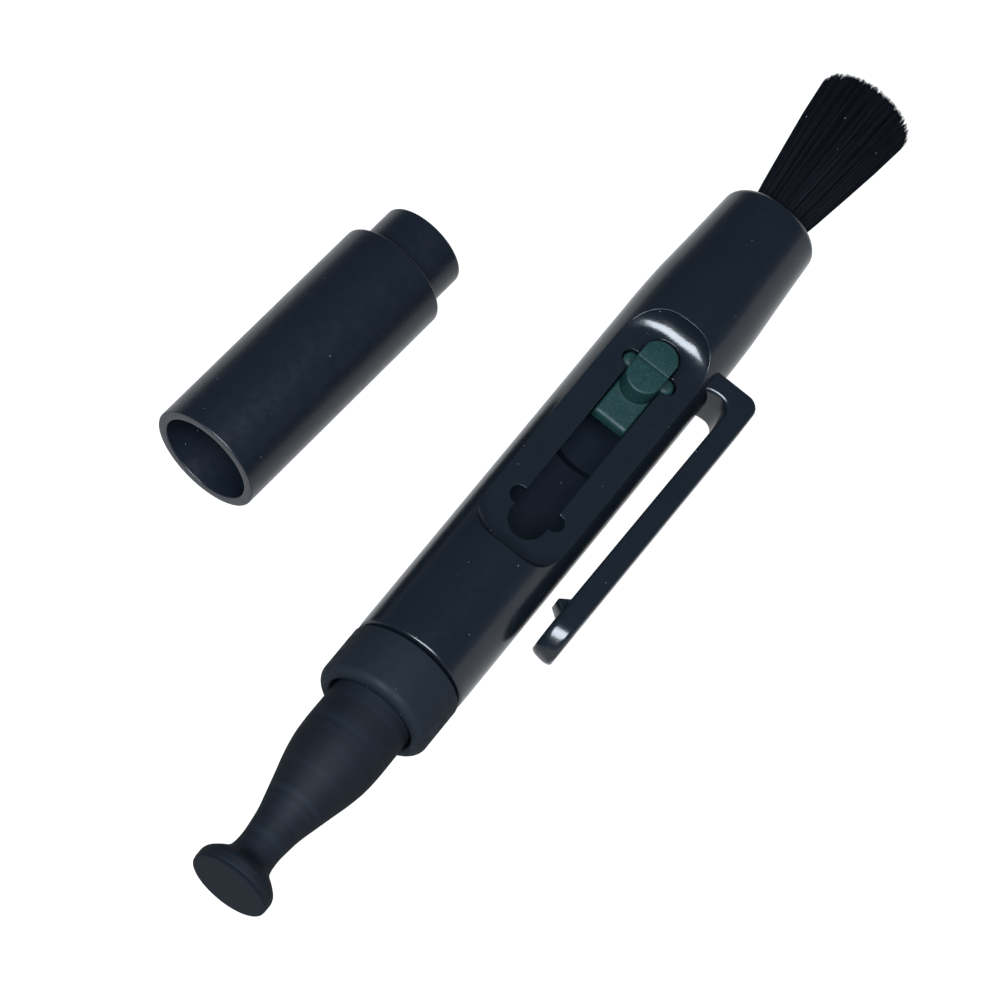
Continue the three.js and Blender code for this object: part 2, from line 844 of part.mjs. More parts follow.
function pen() {
  const group = new THREE.Group();
  group.add(barrel(), pocketClip(), brushCarriage(), thumbSlider(), brushFerrule(), bristleTuft());
  group.add(neckCollar(), neckCore(), neckBoot(), tipDisc(), tipFoam(), chamoisPad());
  group.rotation.x = THREE.MathUtils.degToRad(PEN_ROLL);
  group.position.set(PEN_SHIFT[0], PEN_SHIFT[1], COLLAR_R);
  return group;
}

function cap() {
  const group = new THREE.Group();
  group.add(capTube(), carbonCup(), capSponge());
  group.rotateOnAxis(UP, THREE.MathUtils.degToRad(CAP_TURN));
  group.position.set(PEN_SHIFT[0] + CAP_MOUTH[0], PEN_SHIFT[1] + CAP_MOUTH[1], CAP_R);
  return group;
}

const lensPen = new THREE.Group();
lensPen.add(pen(), cap());

export default lensPen;
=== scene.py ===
"""Looks of the lens cleaning pen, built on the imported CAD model.

Pieces are drawn in millimetres in the frame of the pen or of the cap and then placed.
Pen frame: X from the joint of collar and barrel (0) towards the brush, Z is the normal
of the thumb pocket, and the clip stands on the -Y side. Cap frame: X from the mouth.
"""

import json
import math
import random

import bmesh
import bpy
from mathutils import Matrix, Vector


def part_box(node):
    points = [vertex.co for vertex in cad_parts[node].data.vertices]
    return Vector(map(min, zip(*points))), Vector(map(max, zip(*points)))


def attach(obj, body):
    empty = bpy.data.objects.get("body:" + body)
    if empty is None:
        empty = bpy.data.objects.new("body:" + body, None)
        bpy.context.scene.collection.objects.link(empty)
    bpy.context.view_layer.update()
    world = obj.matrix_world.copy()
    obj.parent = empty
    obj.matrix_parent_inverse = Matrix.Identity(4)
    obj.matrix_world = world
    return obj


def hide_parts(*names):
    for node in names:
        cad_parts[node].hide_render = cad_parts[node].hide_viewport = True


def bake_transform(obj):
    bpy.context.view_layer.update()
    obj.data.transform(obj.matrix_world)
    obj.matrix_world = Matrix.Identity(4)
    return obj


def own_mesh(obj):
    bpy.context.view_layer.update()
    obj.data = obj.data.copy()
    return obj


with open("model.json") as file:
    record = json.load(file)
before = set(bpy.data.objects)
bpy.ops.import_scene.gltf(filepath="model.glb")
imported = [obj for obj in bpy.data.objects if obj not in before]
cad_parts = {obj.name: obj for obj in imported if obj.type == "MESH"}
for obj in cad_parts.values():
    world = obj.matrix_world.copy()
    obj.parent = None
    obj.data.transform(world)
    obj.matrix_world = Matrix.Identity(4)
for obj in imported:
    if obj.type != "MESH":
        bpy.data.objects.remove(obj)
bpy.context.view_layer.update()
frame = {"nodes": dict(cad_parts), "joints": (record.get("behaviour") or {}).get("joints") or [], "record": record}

MM = 0.001
JOINTS = {joint["name"]: joint for joint in frame["joints"]}
MOUNTS = {mount["name"]: mount for mount in frame["record"]["mounts"]}

# Barrel and its thumb pocket.
BARREL_R = 7.0
BARREL_END = 72.25
BARREL_FRONT_ROUND = 0.3
BARREL_END_ROUND = 1.2
BARREL_END_R = 6.05
TAPER_FROM = 52.0
BORE_R = 5.8
BORE_TO = 68.7
FLAT_BORE = (12.5, 56.0)
MOUTH_R = 4.85
MOUTH_FROM = 60.0
MOUTH_EDGE = 0.25
# Outer radius of the barrel's taper at stations towards the brush end.
TAPER = (
    (TAPER_FROM, BARREL_R),
    (54.5, 7.0),
    (58.0, 6.91),
    (60.5, 6.76),
    (63.5, 6.56),
    (67.0, 6.34),
)
# No facet of the bore lines up with one of the shell's, so the cut between them stays clean.
SHELL_FACETS = 240
BORE_FACETS = 157
MOUTH_FACETS = 160
POCKET_FLOOR = 4.3
POCKET_FROM = 15.6
POCKET_TO = 51.8
POCKET_HALF_WIDTH = 5.6
POCKET_CORNER = 4.4
POCKET_FILLET = 2.7
WALL_UNDER_FLOOR = 3.5
# The slot's two ends and its width, and how far down and up its cutter reaches.
SLOT = (18.7, 49.6, 4.65)
SLOT_CUT = (1, 7)
NOTCHES_AT = (22.9, 45.0)
NOTCH_R = 1.15
NOTCH_OUT = 2.5

# Thumb slider.
TONGUE = (37.55, 57.0)
TONGUE_TOP = 3.35
TONGUE_THICK = 1.5
TONGUE_WIDTH = 4.45
BUTTON_AT = 44.6
BUTTON_LENGTH = 7.2
BUTTON_WIDTH = 4.35
BUTTON_TOP = 6.8
BUTTON_DIP = 0.5
NUB_R = 1.04
NUB_OUT = 2.42
NUB_BOTTOM = 2.0
# How much lower the tongue's top lies, at distances from its free end.
TONGUE_END_DROP = ((0, 0.55), (0.06, 0.3), (0.16, 0.14), (0.3, 0.05), (0.45, 0), (0.6, 0))

# Pocket clip: arm height above the pen's axis at both ends, and its root.
CLIP_HALF_WIDTH = 3.6
CLIP_INNER = (9.15, 9.5)
CLIP_OUTER = (11.9, 12.1)
CLIP_FREE_END = 11.0
CLIP_END_SLOPE = 0.3
CLIP_END_REACH = 3.6
CLIP_END_ROUND = 0.7
CLIP_END_RINGS = 14
CLIP_ARM_RINGS = 24
CLIP_BEND_RINGS = 16
CLIP_ROOT_RINGS = 10
# Corner radius of the arm's section, and of its free end, which loses its extra rounding
# over the round end and over the first sixth of the arm.
CLIP_EDGE = 0.42
CLIP_END_EDGE = 1.05
CLIP_END_EDGE_LOSS = 0.45
CLIP_ARM_EDGE_LOSS = 0.18
CLIP_ROOT = (48.6, 51.1)
CLIP_ROOT_FLARE = 1.3
CLIP_ROOT_REACH = 5.5
CLIP_FILLET = 1.5
CLIP_CORNER = 1.6
TOOTH_AT = 17.3
TOOTH_HEIGHT = 1.15
TOOTH_HALF_WIDTH = 1.4
TOOTH_EDGE = 0.22

# Collar, with its spigot inside the barrel.
COLLAR_R = 7.05
COLLAR_FRONT = -7.3
COLLAR_BACK = -0.4
COLLAR_ROUND = 1.15
COLLAR_MOUTH_R = 5.42
COLLAR_MOUTH_TO = -3.1
COLLAR_BORE_R = 2.15
SPIGOT_R = 5.7
SPIGOT_TO = 8.0
SPIGOT_CHAMFER = 0.4

# Neck and tip. Outer radii are given at stations along the pen, or behind the tip's front.
TIP_FRONT = -33.15
TIP_RIM_R = 4.78
TIP_SEAT_R = 4.3
TIP_SEAT_DEPTH = 1.5
TIP_FLARE = (
    (1.0, TIP_RIM_R),
    (1.45, TIP_RIM_R - 0.03),
    (1.95, 4.52),
    (2.65, 3.82),
    (3.3, 3.05),
    (3.9, 2.65),
)
NECK_PROFILE = (
    (-28.5, 2.52),
    (-27.4, 2.47),
    (-26.2, 2.55),
    (-23.9, 2.85),
    (-21.5, 3.42),
    (-19.2, 3.99),
    (-16.9, 4.57),
    (-14.5, 4.99),
    (-12.2, 5.12),
    (-9.8, 5.12),
)
# The boot's end inside the collar, and the hollow it leaves for the core.
NECK_INSIDE = ((-7.6, 5.1), (-3.4, 5.0), (-3.4, 2.2), (-20.0, 2.1), (-20.0, 0))
CHAMOIS_THICK = 0.7
CHAMOIS_SWELL = 0.02
FOAM_THICK = 0.7

# Tuft: radius at stations along the pen.
TUFT_ROOT = (66.0, 2.5)
TUFT_FLARE = (
    (69.5, 2.7),
    (72.4, 3.24),
    (74.2, 3.55),
    (77.4, 4.03),
    (80.6, 4.48),
    (83.9, 4.94),
    (87.1, 5.39),
    (89.5, 5.71),
    (91.8, 5.93),
)
TUFT_SECTORS = 12
TUFT_END = 92.9
TUFT_DOME = 0.8
TUFT_CORE_AT = (66.5, 70, 74, 78, 82, 86, 89.6)
TUFT_CORE_SHARE = 0.8
HAIRS_PER_SECTOR = 430
HAIR_R = 0.055
HAIR_STATIONS = 5
HAIR_END_SPREAD = 0.42
HAIR_WAVE = 0.05
HAIR_LEAN = 0.035
# Most hairs lie near the outside, and the rest fill the inside: shares of the tuft's radius.
OUTER_HAIRS = 0.72
OUTER_BAND = (0.72, 1.03)
INNER_BAND = (0, 0.9)
THIRD_OF_TURN = 2.0944

# Ferrule: its two ends, and the crimp rolled into it.
FERRULE = (60.0, 69.3)
FERRULE_R = 3.15
FERRULE_WALL = 0.3
FERRULE_FLOOR = 1.5
CRIMP_R = FERRULE_R - 0.22
CRIMP = (66.6, 67.4)
CRIMP_SLOPE = 0.4

# Cap.
CAP_LENGTH = 32.5
CAP_R = 6.92
CAP_BORE_R = 5.5
CAP_MOUTH_R = 5.72
CAP_BORE_STRAIGHT_FROM = 23.0
CUP_R = 5.43
CUP_FROM = 25.0
CUP_TO = 38.15
CUP_WALL = 0.6
CUP_HOLLOW_R = 3.9
CUP_HOLLOW_TO = 36.2
SPONGE_FROM = 25.7
SPONGE_TO = 30.0


# ---------------------------------------------------------------------------
# Frames of the pen and the cap, taken from the record.


def placing(origin, along, up):
    """The matrix that puts a drawing in millimetres at its place, from its X and Z."""
    along = Vector(along).normalized()
    up = Vector(up).normalized()
    side = up.cross(along)
    turn = Matrix((along, side, up)).transposed().to_4x4()
    return Matrix.Translation(origin) @ turn @ Matrix.Scale(MM, 4)


def pen_frame():
    axis_point = Vector(JOINTS["tip_flex"]["pos_m"])
    start = Vector((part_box("barrel")[0][0], axis_point.y, axis_point.z))
    return placing(start, (1, 0, 0), JOINTS["clip_flex"]["axis"])


def cap_frame():
    end = MOUNTS["cap_end"]
    along = Vector(end["axis"]).normalized()
    return placing(Vector(end["pos_m"]) - along * CUP_TO * MM, along, (0, 0, 1))


PEN = pen_frame()
CAP = cap_frame()


# ---------------------------------------------------------------------------
# Shapes.


def rounded(points, steps=8):
    """A polyline whose corners, given as (x, y, radius), are rounded."""
    out = [tuple(points[0][:2])]
    for before, here, after in zip(points, points[1:], points[2:]):
        radius = here[2] if len(here) > 2 else 0
        corner = Vector(here[:2])
        if radius <= 0:
            out.append(tuple(corner))
            continue
        u = (Vector(before[:2]) - corner).normalized()
        v = (Vector(after[:2]) - corner).normalized()
        half = u.angle(v) / 2
        centre = corner + (u + v).normalized() * (radius / math.sin(half))
        first = corner + u * (radius / math.tan(half)) - centre
        last = corner + v * (radius / math.tan(half)) - centre
        for i in range(steps + 1):
            out.append(tuple(centre + first.lerp(last, i / steps).normalized() * radius))
    out.append(tuple(points[-1][:2]))
    return out


def smooth_through(points, steps=6):
    """A smooth curve through the points (Catmull-Rom)."""
    p = [Vector(q) for q in points]
    p = [2 * p[0] - p[1], *p, 2 * p[-1] - p[-2]]
    out = []
    for a, b, c, d in zip(p, p[1:], p[2:], p[3:]):
        for i in range(steps):
            t = i / steps
            out.append(
                tuple(
                    0.5
                    * (
                        2 * b
                        + (c - a) * t
                        + (2 * a - 5 * b + 4 * c - d) * t**2
                        + (3 * b - a - 3 * c + d) * t**3
                    )
                )
            )
    out.append(tuple(p[-2]))
    return out


def bridge(bm, one, two):
    """Faces between two rings, either of which may be a single vertex."""
    count = max(len(one), len(two))
    for i in range(count):
        j = (i + 1) % count
        corners = [one[i % len(one)], one[j % len(one)], two[j % len(two)], two[i % len(two)]]
        corners = list(dict.fromkeys(corners))
        if len(corners) > 2:
            bm.faces.new(corners)


def lathe(profile, facets=160, bm=None, wobble=None):
    """A profile of (x, radius) turned about X; it closes on the axis or on itself."""
    bm = bm or bmesh.new()
    rings = []
    closed = profile[0] == profile[-1] and profile[0][1] > 1e-6
    for x, r in profile[:-1] if closed else profile:
        if r < 1e-6:
            rings.append([bm.verts.new((x, 0, 0))])
            continue
        ring = []
        for i in range(facets):
            a = 2 * math.pi * i / facets
            dx, dr = wobble(x, r, a) if wobble else (0, 0)
            ring.append(bm.verts.new((x + dx, (r + dr) * math.cos(a), (r + dr) * math.sin(a))))
        rings.append(ring)
    pairs = list(zip(rings, rings[1:]))
    if closed:
        pairs.append((rings[-1], rings[0]))
    for one, two in pairs:
        bridge(bm, one, two)
    return bm


def loft(rings, bm=None):
    """A closed body through rings of points that all have the same length."""
    bm = bm or bmesh.new()
    made = [[bm.verts.new(p) for p in ring] for ring in rings]
    for one, two in zip(made, made[1:]):
        bridge(bm, one, two)
    bm.faces.new(made[0])
    bm.faces.new(list(reversed(made[-1])))
    return bm


def inset(outline, distance):
    """A closed outline, drawn anticlockwise, moved inwards."""
    out = []
    count = len(outline)
    for i, here in enumerate(outline):
        here = Vector(here)
        u = (here - Vector(outline[i - 1])).normalized()
        v = (Vector(outline[(i + 1) % count]) - here).normalized()
        normal = Vector((-u.y - v.y, u.x + v.x)).normalized()
        share = max(0.4, normal.dot(Vector((-u.y, u.x))))
        out.append(tuple(here + normal * distance / share))
    return out


def slab(outline, z0, z1, edge=0.0, steps=5, bm=None, lift=None):
    """An upright body over an outline, its upper edge rounded; lift tilts its top."""
    lift = lift or (lambda x, y: 0)
    rings = [[(x, y, z0) for x, y in outline]]
    for i in range(steps + 1 if edge else 1):
        a = math.pi / 2 * i / steps
        ring = inset(outline, edge * (1 - math.cos(a)))
        rings.append([(x, y, z1 - edge * (1 - math.sin(a)) + lift(x, y)) for x, y in ring])
    return loft(rings, bm)


def capsule(x0, x1, width, steps=24):
    """The outline of a round-ended bar."""
    r = width / 2
    out = []
    for cx, start in ((x1 - r, -math.pi / 2), (x0 + r, math.pi / 2)):
        for i in range(steps + 1):
            a = start + math.pi * i / steps
            out.append((cx + r * math.cos(a), r * math.sin(a)))
    return out


def circle(cx, cy, r, steps=32):
    turn = [2 * math.pi * i / steps for i in range(steps)]
    return [(cx + r * math.cos(a), cy + r * math.sin(a)) for a in turn]


def rounded_box(x0, x1, half, corner, steps=20):
    """The outline of a box with rounded corners, from -half to half in y."""
    out = []
    for cx, cy, start in (
        (x1 - corner, corner - half, -90),
        (x1 - corner, half - corner, 0),
        (x0 + corner, half - corner, 90),
        (x0 + corner, corner - half, 180),
    ):
        for i in range(steps + 1):
            a = math.radians(start + 90 * i / steps)
            out.append((cx + corner * math.cos(a), cy + corner * math.sin(a)))
    return out


def loose(name, bm):
    """A mesh object in millimetres, not placed yet."""
    bmesh.ops.recalc_face_normals(bm, faces=bm.faces)
    mesh = bpy.data.meshes.new(name)
    bm.to_mesh(mesh)
    bm.free()
    obj = bpy.data.objects.new(name, mesh)
    bpy.context.scene.collection.objects.link(obj)
    return obj


def cut(obj, cutter):
    """Cuts one loose body out of another."""
    modifier = obj.modifiers.new("cut", "BOOLEAN")
    modifier.operation = "DIFFERENCE"
    modifier.solver = "EXACT"
    modifier.object = cutter
    graph = bpy.context.evaluated_depsgraph_get()
    result = bpy.data.meshes.new_from_object(obj.evaluated_get(graph))
    obj.modifiers.clear()
    obj.data = result
    bpy.data.objects.remove(cutter)
    return obj


def piece(obj, place, material, body, angle=32):
    """Places a loose object, shades it, and lets it ride on its body."""
    obj.data.transform(place)
    obj.data.shade_smooth()
    obj.data.set_sharp_from_angle(angle=math.radians(angle))
    obj.data.materials.clear()
    obj.data.materials.append(material)
    if body:
        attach(obj, body)
    return obj


# ---------------------------------------------------------------------------
# Materials.


def set_stops(band, stops):
    """Gives a colour ramp its stops, each a position and a colour."""
    while len(band.elements) < len(stops):
        band.elements.new(0.5)
    for element, (at, colour) in zip(band.elements, stops):
        element.position = at
        element.color = (*colour, 1)


class Nodes:
    """A short way to write a node material."""

    def __init__(self, name):
        self.material = bpy.data.materials.new(name)
        self.material.use_nodes = True
        self.tree = self.material.node_tree
        self.shader = self.tree.nodes["Principled BSDF"]
        self.place = self.add("ShaderNodeTexCoord").outputs["Object"]

    def add(self, kind, **settings):
        node = self.tree.nodes.new(kind)
        for key, value in settings.items():
            setattr(node, key, value)
        return node

    def join(self, output, target):
        self.tree.links.new(output, target)

    def scaled(self, scale):
        node = self.add("ShaderNodeMapping")
        node.inputs["Scale"].default_value = scale
        self.join(self.place, node.inputs["Vector"])
        return node.outputs["Vector"]

    def noise(self, scale, detail=3.0, stretch=None):
        node = self.add("ShaderNodeTexNoise")
        node.inputs["Scale"].default_value = scale
        node.inputs["Detail"].default_value = detail
        self.join(self.scaled(stretch) if stretch else self.place, node.inputs["Vector"])
        return node.outputs["Fac"]

    def ramp(self, value, *stops):
        node = self.add("ShaderNodeValToRGB")
        set_stops(node.color_ramp, stops)
        self.join(value, node.inputs["Fac"])
        return node.outputs["Color"]

    def span(self, value, low, high, start=0.0, end=1.0):
        node = self.add("ShaderNodeMapRange")
        node.inputs["From Min"].default_value = start
        node.inputs["From Max"].default_value = end
        node.inputs["To Min"].default_value = low
        node.inputs["To Max"].default_value = high
        self.join(value, node.inputs["Value"])
        return node.outputs["Result"]

    def math(self, operation, one, two):
        node = self.add("ShaderNodeMath", operation=operation)
        for socket, value in zip(node.inputs, (one, two)):
            if isinstance(value, (int, float)):
                socket.default_value = value
            else:
                self.join(value, socket)
        return node.outputs["Value"]

    def mix(self, share, one, two):
        node = self.add("ShaderNodeMix", data_type="RGBA")
        self.join(share, node.inputs["Factor"])
        for socket, value in ((node.inputs["A"], one), (node.inputs["B"], two)):
            if isinstance(value, tuple):
                socket.default_value = (*value, 1)
            else:
                self.join(value, socket)
        return node.outputs["Result"]

    def specks(self, cell, size, share):
        """1 on sparse specks of the given size, in metres, and 0 between them."""
        node = self.add("ShaderNodeTexVoronoi")
        node.inputs["Scale"].default_value = 1 / cell
        self.join(self.place, node.inputs["Vector"])
        near = self.math("LESS_THAN", node.outputs["Distance"], size / cell)
        split = self.add("ShaderNodeSeparateColor")
        self.join(node.outputs["Color"], split.inputs["Color"])
        some = self.math("LESS_THAN", split.outputs["Red"], share)
        return self.math("MULTIPLY", near, some)

    def soften_edges(self, level, left=0.02):
        """Specular level that falls off where the surface turns away from the eye."""
        facing = self.add("ShaderNodeLayerWeight").outputs["Facing"]
        away = self.math("POWER", facing, 0.9)
        fade = self.span(away, level, level * left)
        self.join(fade, self.shader.inputs["Specular IOR Level"])

    def bump(self, height, depth, edge=0.0):
        node = self.add("ShaderNodeBump")
        node.inputs["Distance"].default_value = depth
        self.join(height, node.inputs["Height"])
        if edge:
            bevel = self.add("ShaderNodeBevel", samples=6)
            bevel.inputs["Radius"].default_value = edge
            self.join(bevel.outputs["Normal"], node.inputs["Normal"])
        self.join(node.outputs["Normal"], self.shader.inputs["Normal"])


def moulded(name, colour, roughness, grain=0.000002, grain_size=0.0002, edge=0.00012,
            specular=0.5, dust=0.22, dust_size=0.00005, dust_colour=(0.1, 0.11, 0.12), mottle=0.0):
    """Moulded plastic or rubber: faint flow variation, fine grain, scuffs and dust."""
    n = Nodes(name)
    flow = n.noise(180, 4)
    tone = n.mix(
        flow,
        tuple(c * 0.86 for c in colour),
        tuple(c * 1.16 for c in colour),
    )
    fine = n.noise(1 / grain_size, 2)
    tone = n.mix(n.span(fine, 0, mottle, 0.45, 0.7), tone, tuple(c * 2.6 for c in colour))
    dusty = n.specks(22 * dust_size, dust_size, dust)
    n.join(n.mix(dusty, tone, dust_colour), n.shader.inputs["Base Color"])
    wear = n.noise(900, 5)
    gloss = n.span(wear, roughness * 0.85, roughness * 1.2, 0.3, 0.7)
    n.join(n.math("MAXIMUM", gloss, n.math("MULTIPLY", dusty, 0.8)), n.shader.inputs["Roughness"])
    n.soften_edges(specular)
    n.bump(n.math("ADD", fine, dusty), grain, edge)
    return n.material


def streaked_rubber(name, colour, roughness, rings=0.0):
    """Soft rubber with fine turned rings across the pen's axis."""
    n = Nodes(name)
    flow = n.noise(260, 4)
    lines = n.noise(1, 3, stretch=(1500, 40, 40))
    tone = n.mix(flow, tuple(c * 0.84 for c in colour), tuple(c * 1.18 for c in colour))
    tone = n.mix(n.span(lines, 0.0, rings, 0.45, 0.7), tone, tuple(c * 2.1 for c in colour))
    dusty = n.specks(0.0026, 0.00007, 0.16)
    n.join(n.mix(dusty, tone, (0.06, 0.065, 0.075)), n.shader.inputs["Base Color"])
    gloss = n.span(n.noise(1200, 4), roughness * 0.88, roughness * 1.1)
    n.join(gloss, n.shader.inputs["Roughness"])
    n.soften_edges(0.08)
    n.bump(n.math("ADD", n.noise(5500, 2), lines), 0.000006, 0.0001)
    return n.material


def suede(name, colour, depth):
    """Chamois or foam: short nap with small pits."""
    n = Nodes(name)
    nap = n.noise(6500, 5)
    patch = n.noise(700, 3)
    tone = n.mix(patch, tuple(c * 0.88 for c in colour), tuple(c * 1.14 for c in colour))
    tone = n.mix(n.span(nap, 0, 0.35, 0.5, 0.75), tone, tuple(c * 1.5 for c in colour))
    n.join(tone, n.shader.inputs["Base Color"])
    n.join(n.span(nap, 0.85, 1.0), n.shader.inputs["Roughness"])
    n.shader.inputs["Sheen Weight"].default_value = 0.01
    n.shader.inputs["Specular IOR Level"].default_value = 0.05
    n.bump(nap, depth)
    return n.material


def hair(name, colour):
    """Black hair: every strand a little different, a few of them catching the light."""
    n = Nodes(name)
    strand = n.noise(1, 1, stretch=(90, 5200, 5200))
    tone = n.ramp(
        strand,
        (0.3, tuple(c * 0.75 for c in colour)),
        (0.62, colour),
        (0.82, tuple(c * 2.2 for c in colour)),
    )
    pale = n.specks(0.0012, 0.0001, 0.1)
    n.join(n.mix(pale, tone, (0.08, 0.1, 0.11)), n.shader.inputs["Base Color"])
    n.join(n.span(strand, 0.75, 0.55), n.shader.inputs["Roughness"])
    n.soften_edges(0.08)
    n.bump(strand, 0.00001)
    return n.material


def drawn_metal(name):
    n = Nodes(name)
    lines = n.noise(1, 3, stretch=(9000, 300, 300))
    n.join(n.ramp(lines, (0.3, (0.42, 0.43, 0.45)), (0.7, (0.62, 0.63, 0.65))),
           n.shader.inputs["Base Color"])
    n.shader.inputs["Metallic"].default_value = 1.0
    n.join(n.span(lines, 0.25, 0.45), n.shader.inputs["Roughness"])
    n.bump(lines, 0.000003, 0.00005)
    return n.material


GLOSS = moulded("gloss black plastic", (0.0029, 0.0043, 0.0062), 0.2,
                grain=0.000009, grain_size=0.00028, edge=0.00014, specular=0.34)
CAP_GLOSS = moulded("cap black plastic", (0.0029, 0.0042, 0.0064), 0.27, grain=0.000003,
                    specular=0.28)
MATTE = moulded("matte black plastic", (0.0044, 0.0063, 0.0088), 0.58, grain=0.00001,
                grain_size=0.00012, specular=0.07)
INNER = moulded("inner grey plastic", (0.0027, 0.0044, 0.007), 0.6, grain=0.000006, specular=0.06)
GREEN = moulded("green plastic", (0.0032, 0.0118, 0.0116), 0.5, grain=0.00003,
                grain_size=0.00024, specular=0.16, edge=0.00009, dust=0.6, dust_size=0.00004,
                dust_colour=(0.03, 0.07, 0.065), mottle=0.45)
RUBBER = streaked_rubber("soft rubber", (0.0026, 0.0037, 0.0053), 0.66, rings=0.42)
CHAMOIS = suede("chamois", (0.0018, 0.003, 0.005), 0.00002)
FOAM = suede("foam", (0.03, 0.033, 0.038), 0.00008)
CARBON = suede("carbon sponge", (0.006, 0.007, 0.008), 0.00012)
HAIR = hair("black hair", (0.0008, 0.0013, 0.0024))
METAL = drawn_metal("drawn metal")


# ---------------------------------------------------------------------------
# Barrel.


def pocket_scoop():
    """What is scooped out above the pocket's floor, with a round lower edge."""
    half = POCKET_HALF_WIDTH + POCKET_FILLET
    corner = POCKET_CORNER + POCKET_FILLET
    outline = rounded_box(POCKET_FROM, POCKET_TO, half, corner, 32)
    rings = []
    steps = 16
    for i in range(steps + 1):
        a = math.pi / 2 * i / steps
        ring = inset(outline, POCKET_FILLET * (1 - math.sin(a)))
        z = POCKET_FLOOR + POCKET_FILLET * (1 - math.cos(a))
        rings.append([(x, y, z) for x, y in ring])
    rings.append([(x, y, POCKET_FLOOR + 10) for x, y in outline])
    return loose("scoop", loft(rings))


def is_inside_barrel(centre):
    """Faces of the bore, which is left as moulded and not polished."""
    reach = math.hypot(centre.y, centre.z)
    under_wall = centre.z < WALL_UNDER_FLOOR + 0.01
    return 0.5 < centre.x < BORE_TO + 0.1 and reach < BORE_R + 0.02 and under_wall


def make_barrel():
    front = [
        (0, 5),
        (0, BARREL_R - 0.05, BARREL_FRONT_ROUND),
        (1.0, BARREL_R),
        (TAPER_FROM, BARREL_R),
    ]
    back = [TAPER[-1], (BARREL_END, BARREL_END_R, BARREL_END_ROUND), (BARREL_END, MOUTH_R)]
    profile = [
        (0, 0),
        *rounded(front, 6)[:-1],
        *smooth_through(TAPER, 8),
        *rounded(back, 12)[1:],
        (BARREL_END, 0),
    ]
    body = loose("barrel_shell", lathe(profile, SHELL_FACETS))
    bore_profile = [(-1, 0), (-1, BORE_R), (BORE_TO, BORE_R), (BORE_TO, 0)]
    bore = loose("bore", lathe(bore_profile, BORE_FACETS))
    first, last = FLAT_BORE
    wide = BARREL_R + 1
    wall = [(first, -wide), (last, -wide), (last, wide), (first, wide)]
    cut(bore, loose("wall", slab(wall, WALL_UNDER_FLOOR, BARREL_R + 2)))
    cut(body, bore)
    end = BARREL_END
    mouth = [
        (MOUTH_FROM, 0),
        (MOUTH_FROM, MOUTH_R),
        (end - MOUTH_EDGE, MOUTH_R),
        (end + 0.2, MOUTH_R + 0.4),
        (end + 0.2, 0),
    ]
    cut(body, loose("mouth", lathe(rounded(mouth), MOUTH_FACETS)))
    cut(body, pocket_scoop())
    low, high = SLOT_CUT
    cut(body, loose("slot", slab(capsule(*SLOT), low, high)))
    for x in NOTCHES_AT:
        for side in (-1, 1):
            cut(body, loose("notch", slab(circle(x, side * NOTCH_OUT, NOTCH_R), low, high)))
    inside = [is_inside_barrel(face.center) for face in body.data.polygons]
    piece(body, PEN, GLOSS, "pen", angle=24)
    body.data.materials.append(INNER)
    body.data.polygons.foreach_set("material_index", [int(flag) for flag in inside])
    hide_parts("barrel")


# ---------------------------------------------------------------------------
# Pocket clip.


def clip_section(inner, outer, half, corner=CLIP_EDGE, steps=6):
    """A rounded cross-section between an inner and an outer point, each (x, out)."""
    a, b = Vector(inner), Vector(outer)
    reach = (b - a).length
    corner = min(corner, half * 0.95, reach * 0.45)
    ring = []
    for ct, cz, start in (
        (reach - corner, half - corner, 0),
        (corner, half - corner, 90),
        (corner, corner - half, 180),
        (reach - corner, corner - half, 270),
    ):
        for i in range(steps + 1):
            turn = math.radians(start + 90 * i / steps)
            t = ct + corner * math.cos(turn)
            p = a + (b - a) * (t / reach)
            ring.append((p.x, -p.y, cz + corner * math.sin(turn)))
    return ring


